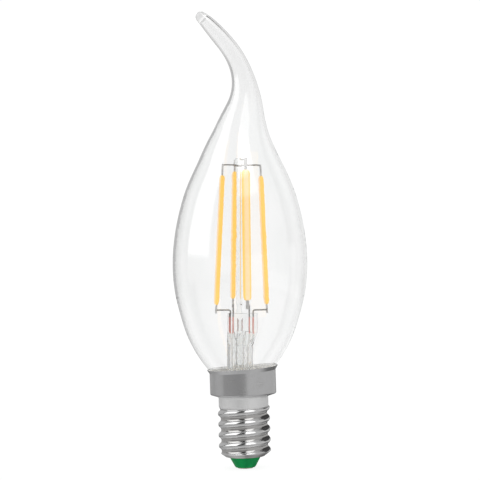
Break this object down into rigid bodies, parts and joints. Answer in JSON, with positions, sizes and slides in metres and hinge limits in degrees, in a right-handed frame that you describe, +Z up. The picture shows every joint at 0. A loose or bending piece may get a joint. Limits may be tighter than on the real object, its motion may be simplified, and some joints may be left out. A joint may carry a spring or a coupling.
{
  "type": "candle bulb",
  "caption": "Clear glass candle bulb with a bent flame tip, yellow LED filaments on a glass stem, and an E14 screw cap with a wide satin skirt.",
  "frame": {"origin": "centre of the flat bottom face of the centre contact, on the axis of the screw cap", "axes": "+Z up along the axis of the screw cap towards the tip, -X the side that the tip bends to, -Y the front"},
  "size_m": [0.0356, 0.0356, 0.1207],
  "materials": {
    "bulb_glass": "clear blown glass",
    "stem_glass": "clear worked glass",
    "phosphor": "matt yellow silicone with phosphor",
    "strip_metal": "plain rolled strip",
    "support_wire": "drawn nickel wire",
    "seal_copper": "red copper-clad wire",
    "lead_wire": "tinned copper wire",
    "cap_metal": "satin on the skirt, bright on the thread",
    "cap_insulator": "green moulding",
    "contact_metal": "plated nail head",
    "cement": "dull baked cement",
    "board": "bare fibre board",
    "capacitor_sleeve": "dark sleeve",
    "resistor_coat": "grey blue coat",
    "chip_black": "black moulding"
  },
  "bodies": {
    "root": {"glass_bulb": "bulb_glass", "glass_stem": "stem_glass", "exhaust_tube": "stem_glass", "centre_rod": "stem_glass", "top_wire_sides": "support_wire", "top_wire_cross": "support_wire", "cap_shell": "cap_metal", "cap_insulator": "cap_insulator", "centre_contact": "contact_metal", "basing_cement": "cement", "driver_board": "board", "smoothing_capacitor": "capacitor_sleeve", "fuse_resistor": "resistor_coat", "bridge_rectifier": "chip_black", "driver_chip": "chip_black", "neutral_wire": "support_wire", "phosphor_right": "phosphor", "filament_strip_right": "strip_metal", "inner_lead_right": "support_wire", "seal_wire_right": "seal_copper", "outer_lead_right": "lead_wire", "phosphor_back": "phosphor", "filament_strip_back": "strip_metal", "inner_lead_back": "support_wire", "seal_wire_back": "seal_copper", "outer_lead_back": "lead_wire", "phosphor_left": "phosphor", "filament_strip_left": "strip_metal", "inner_lead_left": "support_wire", "seal_wire_left": "seal_copper", "outer_lead_left": "lead_wire", "phosphor_front": "phosphor", "filament_strip_front": "strip_metal", "inner_lead_front": "support_wire", "seal_wire_front": "seal_copper", "outer_lead_front": "lead_wire"}
  },
  "joints": []
}
